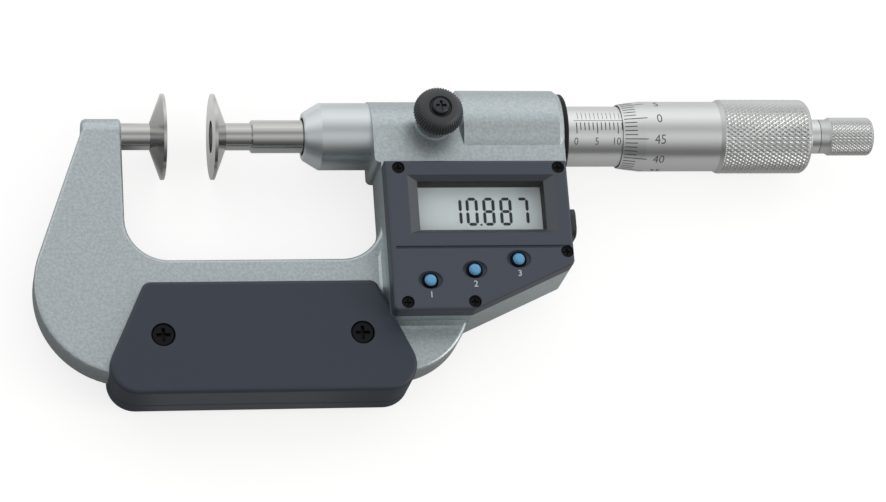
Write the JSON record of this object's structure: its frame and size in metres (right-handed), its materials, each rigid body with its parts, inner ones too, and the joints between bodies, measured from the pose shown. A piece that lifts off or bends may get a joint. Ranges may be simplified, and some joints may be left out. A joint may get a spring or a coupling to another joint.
{
  "type": "digital disc micrometer",
  "caption": "Hand micrometer with disc-shaped jaws, a spindle that slides without turning, a dial sleeve and thimble, and a digital display on the frame.",
  "frame": {"origin": "centre of the anvil's measuring face", "axes": "+X along the measuring axis from the anvil towards the ratchet, +Y up the frame away from the grip, +Z out of the display"},
  "size_m": [0.2016, 0.0751, 0.0299],
  "materials": {
    "casting_enamel": "hammertone grey enamel",
    "hard_steel": "ground and lapped",
    "satin_chrome": "satin",
    "inner_steel": "machined",
    "black_plastic": "moulded",
    "black_screws": "black oxide",
    "cover_plastic": "fine grained",
    "button_plastic": "moulded",
    "clear_window": "clear",
    "display_glass": "reflective",
    "wiper_felt": "soft",
    "board_green": "laminate",
    "brass_parts": "machined",
    "cell_steel": "plated"
  },
  "bodies": {
    "frame": {"frame_casting": "casting_enamel", "anvil": "hard_steel", "nose_sleeve": "satin_chrome", "spindle_wiper": "wiper_felt", "anti_rotation_key": "inner_steel", "encoder_stator": "board_green", "inner_sleeve": "inner_steel", "collar_ring": "black_plastic", "graduated_sleeve": "satin_chrome", "adjusting_nut": "inner_steel", "clamp_bush": "brass_parts", "display_cover": "cover_plastic", "window_lens": "clear_window", "lcd_panel": "display_glass", "lcd_contact_strips": "wiper_felt", "circuit_board": "board_green", "button_switches": "black_plastic", "cover_screws": "black_screws", "battery_cell": "cell_steel", "battery_holder": "black_plastic", "battery_contact": "inner_steel", "data_port_cover": "black_plastic", "front_grip_plate": "cover_plastic", "rear_grip_plate": "cover_plastic", "front_grip_screws": "black_screws", "rear_grip_screws": "black_screws"},
    "spindle": {"spindle": "hard_steel", "spindle_disc": "hard_steel", "thrust_nut": "inner_steel", "thrust_ball": "inner_steel"},
    "thimble": {"thimble": "satin_chrome", "thimble_grip": "satin_chrome", "lead_screw": "inner_steel", "ratchet_collar": "satin_chrome", "ratchet_screw": "inner_steel"},
    "ratchet": {"ratchet_knob": "satin_chrome", "ratchet_clutch": "inner_steel", "ratchet_spring": "inner_steel"},
    "rotor": {"encoder_rotor": "board_green", "rotor_key": "inner_steel"},
    "clamp_plug": {"clamp_plug": "brass_parts"},
    "clamp_knob": {"clamp_knob": "black_plastic", "clamp_screw": "inner_steel"},
    "button_left": {"button_left": "button_plastic"},
    "button_middle": {"button_middle": "button_plastic"},
    "button_right": {"button_right": "button_plastic"},
    "battery_cap": {"battery_cap": "black_plastic"}
  },
  "joints": [
    {"name": "spindle_slide", "type": "slide", "parent": "frame", "child": "spindle", "axis": [1, 0, 0], "range_m": [-0.011, 0.014]},
    {"name": "thimble_turn", "type": "hinge", "parent": "spindle", "child": "thimble", "pos_m": [0.12, 0, 0], "axis": [1, 0, 0], "range_deg": [-7920, 10080]},
    {"name": "rotor_turn", "type": "hinge", "parent": "frame", "child": "rotor", "pos_m": [0.09, 0, 0], "axis": [1, 0, 0], "range_deg": [-7920, 10080]},
    {"name": "ratchet_turn", "type": "hinge", "parent": "thimble", "child": "ratchet", "pos_m": [0.165, 0, 0], "axis": [1, 0, 0], "continuous": true},
    {"name": "clamp_press", "type": "slide", "parent": "frame", "child": "clamp_plug", "axis": [0, 0, -1], "range_m": [0, 0.0002]},
    {"name": "clamp_turn", "type": "hinge", "parent": "clamp_plug", "child": "clamp_knob", "pos_m": [0.0621, 0, 0.012], "axis": [0, 0, -1], "range_deg": [0, 96.01]},
    {"name": "button_left_press", "type": "slide", "parent": "frame", "child": "button_left", "axis": [0, 0, -1], "range_m": [0, 0.00035], "stiffness_N_per_m": 1500, "springref_m": -0.0004},
    {"name": "button_middle_press", "type": "slide", "parent": "frame", "child": "button_middle", "axis": [0, 0, -1], "range_m": [0, 0.00035], "stiffness_N_per_m": 1500, "springref_m": -0.0004},
    {"name": "button_right_press", "type": "slide", "parent": "frame", "child": "button_right", "axis": [0, 0, -1], "range_m": [0, 0.00035], "stiffness_N_per_m": 1500, "springref_m": -0.0004},
    {"name": "battery_cap_turn", "type": "hinge", "parent": "frame", "child": "battery_cap", "pos_m": [0.07, -0.026, -0.004], "axis": [0, 0, 1], "range_deg": [0, 45]}
  ],
  "couplings": [
    {"joint": "thimble_turn", "follows": "spindle_slide", "rad_per_m": 12566},
    {"joint": "rotor_turn", "follows": "spindle_slide", "rad_per_m": 12566},
    {"joint": "clamp_turn", "follows": "clamp_press", "rad_per_m": 8377.6}
  ]
}
